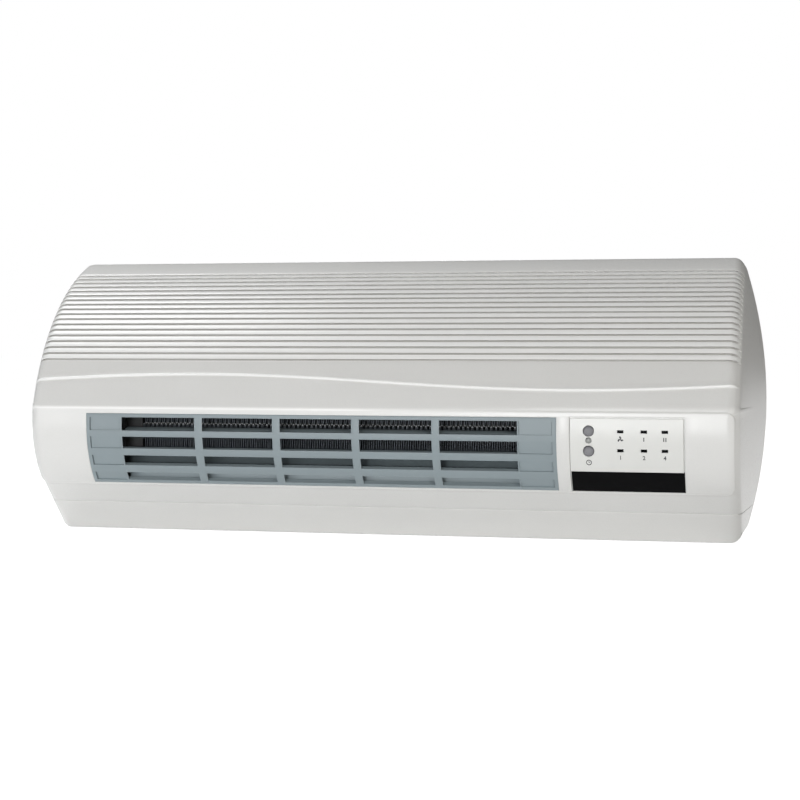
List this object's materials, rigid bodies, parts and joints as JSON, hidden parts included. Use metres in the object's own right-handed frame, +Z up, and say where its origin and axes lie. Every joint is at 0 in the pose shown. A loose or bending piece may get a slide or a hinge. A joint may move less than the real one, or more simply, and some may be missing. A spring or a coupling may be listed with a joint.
{
  "type": "bathroom wall fan heater",
  "caption": "Wall fan heater: curved ribbed cover, slatted warm-air outlet, push-button panel, cross-flow fan and ceramic heating element, hung on a hooked steel plate.",
  "frame": {"origin": "on the wall, in the middle of the wall plate's four screw holes", "axes": "+X to the right seen from the room, +Y into the wall, +Z up"},
  "size_m": [0.4826, 0.1109, 0.181],
  "materials": {
    "white_shell": "satin moulded plastic",
    "grille_plastic": "blue-grey satin plastic",
    "label_plastic": "smooth printed plate",
    "black_window": "polished, passes infrared light",
    "dark_window": "smoked window",
    "lens": "translucent lens",
    "button_plastic": "satin plastic",
    "black_plastic": "fine matt",
    "board": "solder mask",
    "cable_jacket": "smooth sleeve",
    "relay_plastic": "moulded case",
    "capacitor_case": "moulded case",
    "pale_plastic": "moulded",
    "black_rubber": "matt rubber",
    "dark_plastic": "heat-resistant plastic",
    "tray_steel": "plated sheet steel",
    "aluminium": "rolled sheet",
    "brass": "plain",
    "fan_plastic": "moulded",
    "bright_steel": "ground",
    "zinc_steel": "zinc plated",
    "core_steel": "stacked sheets",
    "copper_winding": "taped copper winding",
    "cast_zinc": "cast",
    "red_wire": "silicone sleeve",
    "blue_wire": "sleeve"
  },
  "bodies": {
    "wall_mount": {"wall_plate": "zinc_steel"},
    "housing": {"rear_shell": "white_shell", "front_cover": "white_shell", "base_cover": "white_shell", "outlet_grille": "grille_plastic", "label_plate": "label_plastic", "receiver_window": "black_window", "light_windows": "dark_window", "status_lens": "lens", "tact_switches": "black_plastic", "indicator_leds": "lens", "infrared_receiver": "black_plastic", "display_board": "board", "ribbon_cable": "cable_jacket", "control_board": "board", "relays": "relay_plastic", "capacitors": "capacitor_case", "buzzer": "black_plastic", "terminal_block": "pale_plastic", "cable_grommet": "black_rubber", "fan_duct": "dark_plastic", "air_tongue": "dark_plastic", "element_tray": "tray_steel", "element_fins": "aluminium", "heating_tubes": "aluminium", "element_end_blocks": "dark_plastic", "element_terminals": "brass", "thermal_cutout": "zinc_steel", "thermal_fuse": "pale_plastic", "bearing_bush": "brass", "bearing_holder": "black_rubber", "motor_core": "core_steel", "motor_coil": "copper_winding", "motor_brackets": "cast_zinc", "motor_spacers": "black_rubber", "heater_wires": "red_wire", "motor_wires": "blue_wire", "cover_screws": "zinc_steel", "base_screws": "zinc_steel", "duct_screws": "zinc_steel", "board_screws": "zinc_steel", "motor_screws": "zinc_steel", "wall_pads": "black_rubber"},
    "fan_rotor": {"impeller": "fan_plastic", "stub_shaft": "bright_steel", "motor_shaft": "bright_steel", "motor_rotor": "bright_steel"},
    "power_key": {"power_button": "button_plastic", "power_plunger": "black_plastic"},
    "timer_key": {"timer_button": "button_plastic", "timer_plunger": "black_plastic"}
  },
  "joints": [
    {"name": "lift_off", "type": "slide", "parent": "wall_mount", "child": "housing", "axis": [0, 0, 1], "range_m": [0, 0.012]},
    {"name": "fan_spin", "type": "hinge", "parent": "housing", "child": "fan_rotor", "pos_m": [0, -0.047, -0.009], "axis": [1, 0, 0], "continuous": true},
    {"name": "power_press", "type": "slide", "parent": "housing", "child": "power_key", "axis": [0, 1, 0], "range_m": [0, 0.0006], "stiffness_N_per_m": 1500, "springref_m": -0.0006},
    {"name": "timer_press", "type": "slide", "parent": "housing", "child": "timer_key", "axis": [0, 1, 0], "range_m": [0, 0.0006], "stiffness_N_per_m": 1500, "springref_m": -0.0006}
  ]
}
